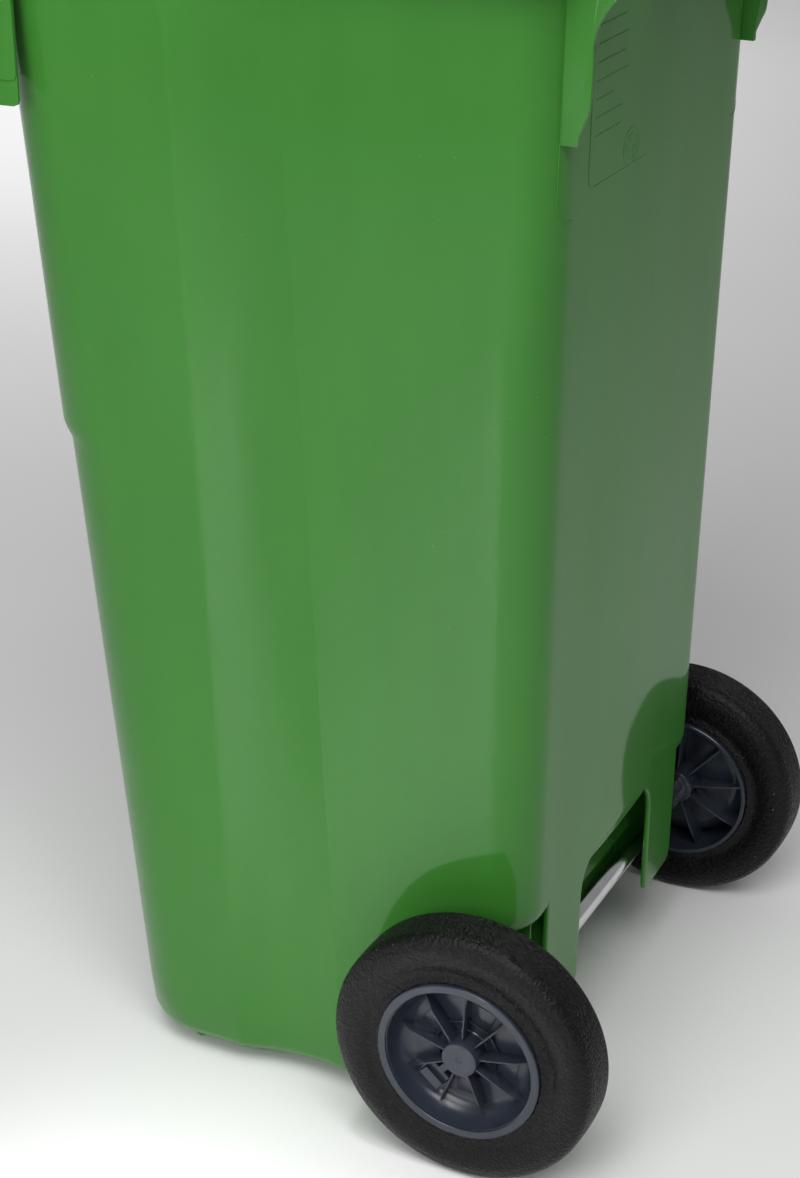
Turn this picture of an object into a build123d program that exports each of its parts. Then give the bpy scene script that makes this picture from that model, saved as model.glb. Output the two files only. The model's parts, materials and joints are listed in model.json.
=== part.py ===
"""Two-wheeled refuse bin of 120 litres: moulded body and lid, steel axle, two rubber-tyred wheels.

Frame: X across the bin, -Y towards its front, +Y towards the wheels and the handles, +Z up.
The origin is on the ground, under the middle of the whole bin.
"""

import os
from math import cos, radians, sin, sqrt

from build123d import *

os.makedirs("parts", exist_ok=True)

# ---------------------------------------------------------------- overall sizes, mm
RIM_Z = 880.0  # top face of the body's rim
LID_TOP_Z = 935.0  # highest point of the lid
WALL = 4.0  # moulded wall of the body
PLATE = 3.0  # moulded ribs and plates
RUN = 0.05  # radial clearance of a pin that turns in its bore

# ---------------------------------------------------------------- body outline
# Each corner of half an outline is (x, y) at the ground and at the rim; it is straight in between.
FRONT_CORNER = ((188.0, -175.8), (222.0, -229.9))
STEPPED_FRONT_CORNER = ((188.0, -184.3), (222.0, -232.7))
FRONT_CREASE = ((188.5, -75.0), (222.0, -82.0))
CHANNEL = ((175.5, -30.0), (207.0, -49.0))
REAR_CREASE = ((182.0, 11.0), (204.0, -15.0))
REAR_CORNER = ((169.0, 148.2), (183.0, 167.7))
CORNER_RADII = (60.0, 16.0, 150.0, 8.0, 36.0)
STEP_Z = (494.0, 509.0)  # the front face steps out between these heights
BASE_ROUNDING = ((8.0, 17.0), (14.0, 7.5), (30.0, 0.0))  # (height, inset) up the rounded bottom edge
FOOT_RADIUS = 7.0
FOOT_PLACES = ((162.0, -123.0), (150.0, 30.0))

# ---------------------------------------------------------------- axle, legs and the recess for them
AXLE_Y, AXLE_Z, AXLE_RADIUS = 130.0, 100.0, 10.5
AXLE_HALF = 227.0
RECESS_FRONT_Y, RECESS_TOP_Z, RECESS_RADIUS = 90.0, 162.0, 20.0
TUNNEL_X, TUNNEL_TOP_Z = 115.0, 186.0  # between the axle's holders the recess is higher
ARCH_TOP_Z, ARCH_RADIUS = 178.0, 30.0
LEG_X = (70.0, 130.0)
LEG_REAR_Y, LEG_BOTTOM_Z, LEG_ROUNDING = 152.0, 71.0, 8.0
HOLDERS = ((122.0, 149.0), (140.0, 143.0))  # (x, rear y) of the plates that hold the axle
HOLDER_BOTTOM_Z = 80.0

# ---------------------------------------------------------------- rim collar and comb pocket
COLLAR_FRONT = (235.0, -260.0)
COLLAR_REAR = (203.0, 182.0)
COLLAR_RADII = (52.0, 38.0)
COLLAR_SKIRT_Z = 845.0
COMB_SKIRT_Z = 800.0
COMB_END_Z = 738.0  # the pocket's end plates reach lower than its front
COMB_END_Y, COMB_END_X = -186.0, 196.0
COMB_RIB_X, COMB_RIB_DEPTH = (36.0, 104.0, 172.0), 30.0

# ---------------------------------------------------------------- handles and hinge
HINGE_Y, HINGE_Z = 258.0, 872.0
GRIP_RADIUS, HANDLE_EYE_RADIUS = 14.0, 17.0
HANDLE_OUTER_X, HANDLE_INNER_X, LUG_X = 162.0, 62.0, 18.0
# each plate is (y, z): its foot, the middle of the bow up to the grip, and its top under the lid's skirt
OUTER_PLATE_FOOT = ((150.0, 737.0), (173.3, 737.0), (173.3, 743.6), (179.8, 759.5), (181.4, 790.7))
OUTER_PLATE_BOW = (195.3, 827.0)
INNER_PLATE_FOOT = ((150.0, 850.0), (184.0, 850.0))
INNER_PLATE_BOW = (216.0, 851.0)
PLATE_TIP = (246.0, 859.0)
PLATE_TOP = ((206.0, 871.0), (188.0, 868.0), (150.0, 868.0))
HINGE_PIN_RADIUS = 6.0
HINGE_PIN_X = (16.0, 70.0)
HINGE_HEAD_RADIUS, HINGE_HEAD = 9.0, 3.5
KNUCKLE_RADIUS = 14.5
KNUCKLE_X = (21.5, 58.5)

# ---------------------------------------------------------------- lid
LID_FRONT = (244.3, -265.0)
LID_REAR = (207.0, 188.0)
LID_RADII = (56.0, 42.0)
LID_BORDER_Z = (884.0, 888.0)
LID_SKIRT_Z = 874.0
LID_WALL = 3.2
LID_CROWN = ((887.0, 22.0), (908.0, 30.0), (923.0, 52.0), (932.0, 92.0), (LID_TOP_Z, 140.0))
LID_LIP_X, LID_LIP_Y = (62.0, 168.0), -275.0
BUFFER_RADIUS = 4.5
BUFFER_PLACES = {"front": (150.0, -252.0), "rear": (120.0, 176.5)}
BUFFER_GAP = 0.3
HINGE_ARM_TOP = ((205.0, 884.5), (172.0, 884.5), (172.0, 893.0), (226.0, 893.0))  # (y, z) of its front end
HINGE_ARM_CHEEK = 4.0  # how far behind the hinge's line an arm meets the top of its knuckle

# ---------------------------------------------------------------- wheels, measured from their middle
WHEEL_X = 214.35
# profiles are (along the axle, radius)
TYRE_RADIUS, TREAD_HALF, BEAD_HALF = 100.0, 14.8, 18.0
TYRE_SHOULDER = (17.0, 96.0)
TYRE_WALL = ((21.5, 85.0), (20.5, 74.0))
RIM_RADIUS, RIM_LIP_RADIUS, RIM_BARREL = 62.3, 55.5, 58.8
RIM_OUTER, RIM_INNER = 22.4, -23.6
RIM_LIP = 2.0
WEB_HALF, WEB_RADIUS = 1.5, 42.0
DISH_MIDDLE, DISH_BACK_MIDDLE, DISH_BACK_X = (8.5, 50.5), (6.0, 52.5), 16.4
HUB_RADIUS, HUB_OUTER, HUB_FLOOR = 13.5, 19.1, 14.0
SPOKES = 9
SPOKE_THICKNESS = 1.8
OUTER_SPOKE = ((0.0, 12.5), (15.5, 12.5), (11.0, 44.0), (8.5, 51.0), (0.0, 42.0))
INNER_SPOKE = ((0.0, 13.5), (-17.0, 13.5), (-12.0, 59.8), (4.0, 59.8), (0.0, 46.0))
LATCH_CHEEK = ((0.0, 30.0), (9.5, 30.0), (9.5, 42.0), (8.0, 47.0), (0.0, 43.0))
LATCH_ANGLE = 228.0  # where the latch sits, midway between two spokes, turned from +Y towards +Z
LATCH_PLAY = 0.4  # between the latch and its channel
LATCH_HALF_WIDTH, LATCH_INNER_R, LATCH_OUTER_R = 8.5, 28.0, 41.5
LATCH_X = (4.0, 8.0)  # the plate's two faces, outboard of the wheel's middle
LATCH_TIP_R, LATCH_TIP_HALF = 9.2, 2.6
LATCH_STEP_R, LATCH_STEP = 34.0, 3.0
GROOVE_RADIUS, GROOVE_GAP = 8.5, 0.6


def at_height(corner, height):
    """Where a corner of the body's outline is at one height."""
    (x_low, y_low), (x_high, y_high) = corner
    part_way = height / RIM_Z
    return x_low + (x_high - x_low) * part_way, y_low + (y_high - y_low) * part_way


def body_outline(height, inset=0.0):
    """A level slice of the body, drawn inset from its outer face."""
    stepped = height > sum(STEP_Z) / 2
    corners = (STEPPED_FRONT_CORNER if stepped else FRONT_CORNER,
               FRONT_CREASE, CHANNEL, REAR_CREASE, REAR_CORNER)
    half = [at_height(corner, height) for corner in corners]
    half = [(x - inset, y) for x, y in half]
    half[0] = (half[0][0], half[0][1] + inset)
    half[-1] = (half[-1][0], half[-1][1] - inset)
    points = half + [(-x, y) for x, y in reversed(half)]
    radii = [CORNER_RADII[0] - inset, *CORNER_RADII[1:4], CORNER_RADII[4] - inset]
    with BuildSketch(Plane.XY.offset(height)) as slice_sketch:
        with BuildLine():
            FilletPolyline(*points, radius=radii + radii[::-1], close=True)
        make_face()
    return slice_sketch.sketch.face()


def four_cornered(height, front, rear, radii, inset=0.0):
    """A level slice of the collar or the lid: four rounded corners, wider in front."""
    (front_x, front_y), (rear_x, rear_y) = front, rear
    half = [(front_x - inset, front_y + inset), (rear_x - inset, rear_y - inset)]
    points = half + [(-x, y) for x, y in reversed(half)]
    rounded = [max(radius - inset / 2, 8.0) for radius in radii]
    with BuildSketch(Plane.XY.offset(height)) as slice_sketch:
        with BuildLine():
            FilletPolyline(*points, radius=rounded + rounded[::-1], close=True)
        make_face()
    return slice_sketch.sketch.face()


def collar_outline(height, inset=0.0):
    return four_cornered(height, COLLAR_FRONT, COLLAR_REAR, COLLAR_RADII, inset)


def lid_outline(height, inset=0.0):
    return four_cornered(height, LID_FRONT, LID_REAR, LID_RADII, inset)


def both_sides(x):
    """The places of a plate of thickness PLATE that stands at x on each side."""
    return (x - PLATE / 2, -x - PLATE / 2)


def save(part, name):
    part.label = name
    export_step(part, f"parts/{name}.step")


# ================================================================ body
BEYOND = 400.0  # longer than anything that a cut has to pass through


def recess_block(half_width, top_z, thicker=0.0):
    """The space under the recess over the axle, or that space grown by a wall's thickness."""
    front_y, top_z = RECESS_FRONT_Y - thicker, top_z + thicker
    with BuildPart() as block:
        with BuildSketch(Plane.YZ.offset(-half_width - thicker)):
            with BuildLine():
                FilletPolyline((front_y, -WALL), (front_y, top_z), (BEYOND, top_z),
                               radius=RECESS_RADIUS + thicker)
                Polyline((BEYOND, top_z), (BEYOND, -WALL), (front_y, -WALL))
            make_face()
        extrude(amount=2 * (half_width + thicker))
    return block.part


with BuildPart() as cavity:
    inner_slices = [(z + WALL, inset + WALL) for z, inset in BASE_ROUNDING]
    inner_slices += [(z, WALL) for z in (*STEP_Z, RIM_Z + WALL)]
    loft([body_outline(z, inset) for z, inset in inner_slices], ruled=True)
    add(recess_block(BEYOND, RECESS_TOP_Z, WALL), mode=Mode.SUBTRACT)
    add(recess_block(TUNNEL_X, TUNNEL_TOP_Z, WALL), mode=Mode.SUBTRACT)

with BuildPart() as collar:
    extrude(collar_outline(COMB_END_Z), amount=RIM_Z - COMB_END_Z)
    extrude(collar_outline(COMB_END_Z, PLATE), amount=RIM_Z - COMB_END_Z - WALL, mode=Mode.SUBTRACT)
    with Locations((0, COMB_END_Y, COLLAR_SKIRT_Z)):
        Box(2 * BEYOND, BEYOND + COLLAR_REAR[1], BEYOND, mode=Mode.SUBTRACT,
            align=(Align.CENTER, Align.MIN, Align.MAX))
    with Locations((0, COMB_END_Y, COMB_SKIRT_Z)):
        Box(2 * COMB_END_X, BEYOND, BEYOND, mode=Mode.SUBTRACT,
            align=(Align.CENTER, Align.MAX, Align.MAX))
    # ribs across the comb pocket, from the collar's skirt to the body's front wall
    with Locations(*[(side * x, COLLAR_FRONT[1] + PLATE / 2, RIM_Z - PLATE)
                     for x in COMB_RIB_X for side in (1, -1)]):
        Box(PLATE, COMB_RIB_DEPTH, RIM_Z - PLATE - COMB_SKIRT_Z, align=(Align.CENTER, Align.MIN, Align.MAX))

with BuildPart() as legs:
    # the rear wall goes on downwards as a plate with an arch between its two legs
    with BuildSketch(Plane.XZ.offset(-LEG_REAR_Y)):
        with BuildLine():
            half = [(LEG_X[0], ARCH_TOP_Z), (LEG_X[0], LEG_BOTTOM_Z), (LEG_X[1], LEG_BOTTOM_Z),
                    (LEG_X[1], TUNNEL_TOP_Z + WALL)]
            edge_radii = [ARCH_RADIUS, LEG_ROUNDING, LEG_ROUNDING]
            edge = FilletPolyline(*[(-x, z) for x, z in reversed(half)], *half,
                                  radius=edge_radii[::-1] + edge_radii)
            Line(edge @ 1, edge @ 0)
        make_face()
    extrude(amount=WALL)
    for x, rear_y in HOLDERS:
        with Locations((x, rear_y, HOLDER_BOTTOM_Z), (-x, rear_y, HOLDER_BOTTOM_Z)):
            Box(PLATE, rear_y - RECESS_FRONT_Y + PLATE, RECESS_TOP_Z - HOLDER_BOTTOM_Z + PLATE,
                align=(Align.CENTER, Align.MAX, Align.MIN))

with BuildPart() as handles:
    plates = [(x, OUTER_PLATE_FOOT, OUTER_PLATE_BOW) for x in both_sides(HANDLE_OUTER_X)]
    plates += [(x, INNER_PLATE_FOOT, INNER_PLATE_BOW)
               for x in (*both_sides(HANDLE_INNER_X), *both_sides(LUG_X))]
    for x, foot_points, bow_middle in plates:
        with BuildSketch(Plane.YZ.offset(x)):
            with BuildLine():
                foot = Polyline(*foot_points)
                bow = ThreePointArc(foot @ 1, bow_middle, PLATE_TIP)
                Polyline(bow @ 1, (HINGE_Y, HINGE_Z + HANDLE_EYE_RADIUS), *PLATE_TOP, foot @ 0)
            make_face()
            with Locations((HINGE_Y, HINGE_Z)):
                Circle(HANDLE_EYE_RADIUS)
        extrude(amount=PLATE)
    for start in (HANDLE_INNER_X, -HANDLE_OUTER_X):
        with BuildSketch(Plane.YZ.offset(start)):
            with Locations((HINGE_Y, HINGE_Z)):
                Circle(GRIP_RADIUS)
        extrude(amount=HANDLE_OUTER_X - HANDLE_INNER_X)
    # the pins' bore, from lug to grip
    with BuildSketch(Plane.YZ.offset(-HINGE_PIN_X[1])):
        with Locations((HINGE_Y, HINGE_Z)):
            Circle(HINGE_PIN_RADIUS)
    extrude(amount=2 * HINGE_PIN_X[1], mode=Mode.SUBTRACT)

with BuildPart() as body:
    outer_slices = [*BASE_ROUNDING, (STEP_Z[0], 0.0), (STEP_Z[1], 0.0), (RIM_Z, 0.0)]
    loft([body_outline(z, inset) for z, inset in outer_slices], ruled=True)
    add(recess_block(BEYOND, RECESS_TOP_Z), mode=Mode.SUBTRACT)
    add(recess_block(TUNNEL_X, TUNNEL_TOP_Z), mode=Mode.SUBTRACT)
    add(collar.part)
    add(handles.part)
    add(legs.part)
    add(cavity.part, mode=Mode.SUBTRACT)
    with Locations(*[(side * x, y, 0) for x, y in FOOT_PLACES for side in (1, -1)]):
        Cylinder(FOOT_RADIUS, BASE_ROUNDING[0][0] + WALL / 2, align=(Align.CENTER, Align.CENTER, Align.MIN))
    with BuildSketch(Plane.YZ.offset(-BEYOND)):
        with Locations((AXLE_Y, AXLE_Z)):
            Circle(AXLE_RADIUS)
    extrude(amount=2 * BEYOND, mode=Mode.SUBTRACT)
save(body.part, "body")

# ================================================================ axle
with BuildPart() as axle:
    with BuildSketch(Plane.YZ.offset(-AXLE_HALF)):
        with Locations((AXLE_Y, AXLE_Z)):
            Circle(AXLE_RADIUS)
    extrude(amount=2 * AXLE_HALF)
    chamfer(axle.edges().filter_by(GeomType.CIRCLE), length=1.0)
    groove_width = LATCH_X[1] - LATCH_X[0] + 2 * GROOVE_GAP
    for start in (WHEEL_X + LATCH_X[0] - GROOVE_GAP, -WHEEL_X - LATCH_X[1] - GROOVE_GAP):
        with BuildSketch(Plane.YZ.offset(start)):
            with Locations((AXLE_Y, AXLE_Z)):
                Circle(AXLE_RADIUS + 1)
                Circle(GROOVE_RADIUS, mode=Mode.SUBTRACT)
        extrude(amount=groove_width, mode=Mode.SUBTRACT)
save(axle.part, "axle")


# ================================================================ wheels
def wheel_plane(side):
    """The wheel's own plane: its X is along the axle, away from the bin, and its Y is radial."""
    return Plane(origin=(side * WHEEL_X, AXLE_Y, AXLE_Z), x_dir=(side, 0, 0), z_dir=(0, 0, side))


def radial_plane(side, angle):
    """As wheel_plane, with Y turned to an angle from +Y towards +Z."""
    outward = Vector(0, cos(radians(angle)), sin(radians(angle)))
    along = Vector(side, 0, 0)
    return Plane(origin=(side * WHEEL_X, AXLE_Y, AXLE_Z), x_dir=along, z_dir=along.cross(outward))


WHEEL_AXIS = Axis((0, AXLE_Y, AXLE_Z), (1, 0, 0))

for side, name in ((1, "right"), (-1, "left")):
    with BuildPart() as tyre:
        with BuildSketch(wheel_plane(side)):
            with BuildLine():
                inner_wall = [(-along, radius) for along, radius in (*TYRE_WALL[::-1], TYRE_SHOULDER)]
                tread = Polyline(inner_wall[-1], (-TREAD_HALF, TYRE_RADIUS), (TREAD_HALF, TYRE_RADIUS),
                                 TYRE_SHOULDER)
                outer_wall = Spline(tread @ 1, *TYRE_WALL, (BEAD_HALF, RIM_RADIUS))
                bead = Line(outer_wall @ 1, (-BEAD_HALF, RIM_RADIUS))
                Spline(bead @ 1, *inner_wall)
            make_face()
        revolve(axis=WHEEL_AXIS)
    save(tyre.part, f"tyre_{name}")

    with BuildPart() as rim:
        with BuildSketch(wheel_plane(side)):
            with BuildLine():
                lip = Polyline((RIM_INNER, RIM_BARREL), (RIM_INNER, RIM_RADIUS), (RIM_OUTER, RIM_RADIUS),
                               (RIM_OUTER, RIM_LIP_RADIUS), (RIM_OUTER - RIM_LIP, RIM_LIP_RADIUS))
                dish = ThreePointArc(lip @ 1, DISH_MIDDLE, (WEB_HALF, WEB_RADIUS))
                hub = Polyline(dish @ 1, (WEB_HALF, HUB_RADIUS), (HUB_OUTER, HUB_RADIUS), (HUB_OUTER, 0),
                               (HUB_FLOOR, 0), (HUB_FLOOR, AXLE_RADIUS + RUN),
                               (RIM_INNER + 1, AXLE_RADIUS + RUN), (RIM_INNER + 1, HUB_RADIUS + 1),
                               (-WEB_HALF, HUB_RADIUS + 1), (-WEB_HALF, WEB_RADIUS + 1))
                back = ThreePointArc(hub @ 1, DISH_BACK_MIDDLE, (DISH_BACK_X, RIM_BARREL))
                Line(back @ 1, lip @ 0)
            make_face()
        revolve(axis=WHEEL_AXIS)
        for spoke in range(SPOKES):
            spoke_angle = LATCH_ANGLE + (spoke + 0.5) * 360 / SPOKES
            with BuildSketch(radial_plane(side, spoke_angle)):
                Polygon(*OUTER_SPOKE, align=None)
                Polygon(*INNER_SPOKE, align=None)
            extrude(amount=SPOKE_THICKNESS / 2, both=True)
        # the latch's channel: a cheek on each side of it, and a slot into the hub
        latch_plane = radial_plane(side, LATCH_ANGLE)
        cheek_offset = LATCH_HALF_WIDTH + LATCH_PLAY
        for start in (cheek_offset, -cheek_offset - SPOKE_THICKNESS):
            with BuildSketch(latch_plane.offset(start)):
                Polygon(*LATCH_CHEEK, align=None)
            extrude(amount=SPOKE_THICKNESS)
        with BuildSketch(wheel_plane(side)):
            Polygon((HUB_OUTER - 1, 0), (HUB_OUTER - 1, AXLE_RADIUS + RUN), (RIM_INNER, AXLE_RADIUS + RUN),
                    (RIM_INNER, 0), align=None)
            with Locations((HUB_OUTER - 1, 0)):
                Rectangle(HUB_OUTER - 1 - HUB_FLOOR, 2 * AXLE_RADIUS + 2, align=(Align.MAX, Align.CENTER),
                          mode=Mode.SUBTRACT)
        revolve(axis=WHEEL_AXIS, mode=Mode.SUBTRACT)
        slot_low, slot_high = LATCH_X[0] - LATCH_PLAY, LATCH_X[1] + LATCH_PLAY
        with BuildSketch(latch_plane.offset(-LATCH_TIP_HALF - LATCH_PLAY)):
            Polygon((slot_low, GROOVE_RADIUS), (slot_high, GROOVE_RADIUS), (slot_high, HUB_RADIUS + 1),
                    (slot_low, HUB_RADIUS + 1), align=None)
        extrude(amount=2 * (LATCH_TIP_HALF + LATCH_PLAY), mode=Mode.SUBTRACT)
    save(rim.part, f"rim_{name}")

    with BuildPart() as latch:
        with BuildSketch(latch_plane.offset(-LATCH_HALF_WIDTH)):
            Polygon((LATCH_X[0], LATCH_INNER_R), (LATCH_X[1], LATCH_INNER_R),
                    (LATCH_X[1], LATCH_STEP_R), (LATCH_X[1] + LATCH_STEP, LATCH_STEP_R),
                    (LATCH_X[1] + LATCH_STEP, LATCH_OUTER_R), (LATCH_X[0], LATCH_OUTER_R), align=None)
        extrude(amount=2 * LATCH_HALF_WIDTH)
        with BuildSketch(latch_plane.offset(-LATCH_TIP_HALF)):
            Polygon((LATCH_X[0], LATCH_TIP_R), (LATCH_X[1], LATCH_TIP_R), (LATCH_X[1], LATCH_INNER_R + 1),
                    (LATCH_X[0], LATCH_INNER_R + 1), align=None)
        extrude(amount=2 * LATCH_TIP_HALF)
    save(latch.part, f"hub_latch_{name}")

# ================================================================ hinge pins
for side, name in ((1, "right"), (-1, "left")):
    with BuildPart() as hinge_pin:
        with BuildSketch(Plane.YZ.offset(side * HINGE_PIN_X[0])):
            with Locations((HINGE_Y, HINGE_Z)):
                Circle(HINGE_PIN_RADIUS)
        extrude(amount=side * (HINGE_PIN_X[1] - HINGE_PIN_X[0]))
        with BuildSketch(Plane.YZ.offset(side * (LUG_X - PLATE / 2 - HINGE_HEAD))):
            with Locations((HINGE_Y, HINGE_Z)):
                Circle(HINGE_HEAD_RADIUS)
        extrude(amount=side * HINGE_HEAD)
    save(hinge_pin.part, f"hinge_pin_{name}")

# ================================================================ lid
with BuildPart() as crown_hollow:
    loft([lid_outline(z - LID_WALL, inset + LID_WALL) for z, inset in LID_CROWN])

with BuildPart() as lid:
    extrude(lid_outline(LID_SKIRT_Z), amount=LID_BORDER_Z[1] - LID_SKIRT_Z)
    extrude(lid_outline(LID_SKIRT_Z, LID_WALL), amount=LID_BORDER_Z[0] - LID_SKIRT_Z, mode=Mode.SUBTRACT)
    loft([lid_outline(z, inset) for z, inset in LID_CROWN])
    add(crown_hollow.part, mode=Mode.SUBTRACT)
    # lips to lift the lid by
    with Locations(*[(side * sum(LID_LIP_X) / 2, LID_LIP_Y, LID_BORDER_Z[1]) for side in (1, -1)]):
        Box(LID_LIP_X[1] - LID_LIP_X[0], LID_FRONT[1] - LID_LIP_Y + 2, LID_BORDER_Z[1] - LID_BORDER_Z[0],
            align=(Align.CENTER, Align.MIN, Align.MAX))
    # hinge arms and their knuckles
    for side in (1, -1):
        with BuildSketch(Plane.YZ.offset(side * KNUCKLE_X[0])):
            cheek_z = HINGE_Z + sqrt(KNUCKLE_RADIUS ** 2 - HINGE_ARM_CHEEK ** 2)
            Polygon(*HINGE_ARM_TOP, (HINGE_Y + HINGE_ARM_CHEEK, cheek_z), (HINGE_Y, HINGE_Z),
                    (HINGE_Y - KNUCKLE_RADIUS, HINGE_Z), align=None)
            with Locations((HINGE_Y, HINGE_Z)):
                Circle(KNUCKLE_RADIUS)
                Circle(HINGE_PIN_RADIUS + RUN, mode=Mode.SUBTRACT)
        extrude(amount=side * (KNUCKLE_X[1] - KNUCKLE_X[0]))
save(lid.part, "lid")

for end, (x, y) in BUFFER_PLACES.items():
    for side, name in ((1, "right"), (-1, "left")):
        with BuildPart() as buffer:
            with BuildSketch(Plane.XY.offset(RIM_Z + BUFFER_GAP)):
                with Locations((side * x, y)):
                    Circle(BUFFER_RADIUS)
            extrude(amount=LID_BORDER_Z[0] - RIM_Z - BUFFER_GAP)
        save(buffer.part, f"lid_buffer_{end}_{name}")
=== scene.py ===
"""A two-wheeled refuse bin in a plain pale studio. Metres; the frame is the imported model's."""

import json
import random

import bmesh
import bpy
import numpy as np
from math import cos, pi, radians, sin, sqrt, tan
from mathutils import Matrix, Vector


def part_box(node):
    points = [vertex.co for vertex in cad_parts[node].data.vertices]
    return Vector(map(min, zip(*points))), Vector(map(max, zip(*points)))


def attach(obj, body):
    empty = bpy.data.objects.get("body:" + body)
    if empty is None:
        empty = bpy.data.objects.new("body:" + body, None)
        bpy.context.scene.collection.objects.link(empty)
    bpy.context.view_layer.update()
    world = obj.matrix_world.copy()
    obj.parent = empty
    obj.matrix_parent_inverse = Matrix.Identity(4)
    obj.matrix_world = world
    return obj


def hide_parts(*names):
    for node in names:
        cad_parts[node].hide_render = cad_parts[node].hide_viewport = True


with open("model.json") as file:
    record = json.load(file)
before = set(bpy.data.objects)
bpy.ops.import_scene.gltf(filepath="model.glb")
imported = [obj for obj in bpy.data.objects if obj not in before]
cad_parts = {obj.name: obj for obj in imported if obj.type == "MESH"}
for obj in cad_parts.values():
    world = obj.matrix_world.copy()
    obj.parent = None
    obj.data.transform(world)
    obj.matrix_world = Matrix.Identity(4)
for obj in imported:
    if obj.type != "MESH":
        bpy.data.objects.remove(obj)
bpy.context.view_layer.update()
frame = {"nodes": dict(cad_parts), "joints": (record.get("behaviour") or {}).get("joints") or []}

# ---------------------------------------------------------------- sizes that the frame gives
axle_low, axle_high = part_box("axle")
AXLE_Y, AXLE_Z = (axle_low.y + axle_high.y) / 2, (axle_low.z + axle_high.z) / 2
HINGE = next(joint for joint in frame["joints"] if joint["name"] == "lid_hinge")["pos_m"]
HINGE_Y, HINGE_Z = HINGE[1], HINGE[2]
WHEEL_X = next(joint for joint in frame["joints"] if joint["name"] == "wheel_right_spin")["pos_m"][0]

# ---------------------------------------------------------------- the body's outline, as in the CAD model
RIM_Z = 0.880
WALL = 0.004
FRONT_CORNER = ((0.1880, -0.1758), (0.222, -0.2299))
STEPPED_FRONT_CORNER = ((0.1880, -0.1843), (0.222, -0.2327))
FRONT_CREASE = ((0.1885, -0.075), (0.222, -0.082))
CHANNEL = ((0.1755, -0.030), (0.207, -0.049))
REAR_CREASE = ((0.1820, 0.011), (0.204, -0.015))
REAR_CORNER = ((0.1690, 0.1482), (0.183, 0.1677))
CORNER_RADII = (0.060, 0.016, 0.150, 0.008, 0.036)
STEP_Z = (0.494, 0.509)
CROWN = 0.0032  # how far the rear wall bulges between the legs
UNEVENNESS = 0.00005  # of a thick moulded wall, once it has cooled
RECESS_FRONT_Y, RECESS_TOP_Z, RECESS_RADIUS = 0.090, 0.162, 0.020
TUNNEL_LIFT = 0.024  # how much higher the recess is between the plates that hold the axle
LEG_X, LEG_BOTTOM_Z, LEG_ROUNDING = (0.070, 0.130), 0.071, 0.008
ARCH_TOP_Z, ARCH_RADIUS = 0.178, 0.030
APRON_Z = 0.200  # below this height the rear wall between the legs is a grid of its own
EDGE = 0.0016  # rounding of the legs' and the arch's edge
BASE_Z, BASE_ROUND, CEILING_ROUND = 0.008, 0.021, 0.016
FLOOR_Z, FLOOR_ROUND, INNER_CEILING_ROUND = 0.012, 0.017, 0.003
HOLDERS = ((0.122, 0.149), (0.140, 0.143))  # axle plates: where each stands, and how far back it reaches
HOLDER_Z, PLATE_HALF, SUNK = 0.080, 0.0015, 0.001


# ======================================== mesh helpers
def new_object(name, vertices, faces, sharp=32):
    """A smooth-shaded mesh whose edges sharper than an angle stay crisp; doubled points are welded."""
    mesh = bpy.data.meshes.new(name)
    mesh.from_pydata([tuple(v) for v in vertices], [], faces)
    work = bmesh.new()
    work.from_mesh(mesh)
    bmesh.ops.remove_doubles(work, verts=work.verts, dist=2e-6)
    bmesh.ops.dissolve_degenerate(work, edges=work.edges, dist=1e-6)
    bmesh.ops.recalc_face_normals(work, faces=work.faces)
    work.to_mesh(mesh)
    work.free()
    mesh.shade_smooth()
    mesh.set_sharp_from_angle(angle=radians(sharp))
    obj = bpy.data.objects.new(name, mesh)
    bpy.context.scene.collection.objects.link(obj)
    return obj


def apply_modifiers(obj, sharp=32):
    """Bakes an object's modifiers into its mesh."""
    evaluated = obj.evaluated_get(bpy.context.evaluated_depsgraph_get())
    mesh = bpy.data.meshes.new_from_object(evaluated)
    obj.modifiers.clear()
    obj.data = mesh
    mesh.shade_smooth()
    mesh.set_sharp_from_angle(angle=radians(sharp))
    return obj


def bevel(obj, width, segments=2, angle=35):
    """Rounds an object's hard edges for real."""
    modifier = obj.modifiers.new("rounded_edges", "BEVEL")
    modifier.width = width
    modifier.segments = segments
    modifier.limit_method = "ANGLE"
    modifier.angle_limit = radians(angle)
    modifier.use_clamp_overlap = True
    return apply_modifiers(obj, sharp=40)


def join(name, objects):
    """One object from several, each already in place."""
    work = bmesh.new()
    for obj in objects:
        work.from_mesh(obj.data)
    mesh = bpy.data.meshes.new(name)
    work.to_mesh(mesh)
    work.free()
    joined = bpy.data.objects.new(name, mesh)
    bpy.context.scene.collection.objects.link(joined)
    for obj in objects:
        bpy.data.objects.remove(obj)
    return joined


def prism(name, outline, start, stop, axis):
    """An outline pushed along an axis: for X it is (y, z), for Y it is (x, z), for Z it is (x, y)."""
    def place(pair, along):
        point = list(pair)
        point.insert("XYZ".index(axis), along)
        return point

    count = len(outline)
    vertices = [place(pair, start) for pair in outline] + [place(pair, stop) for pair in outline]
    faces = [tuple(range(count)), tuple(range(count, 2 * count))]
    faces += [(i, (i + 1) % count, (i + 1) % count + count, i + count) for i in range(count)]
    return new_object(name, vertices, faces)


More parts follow.
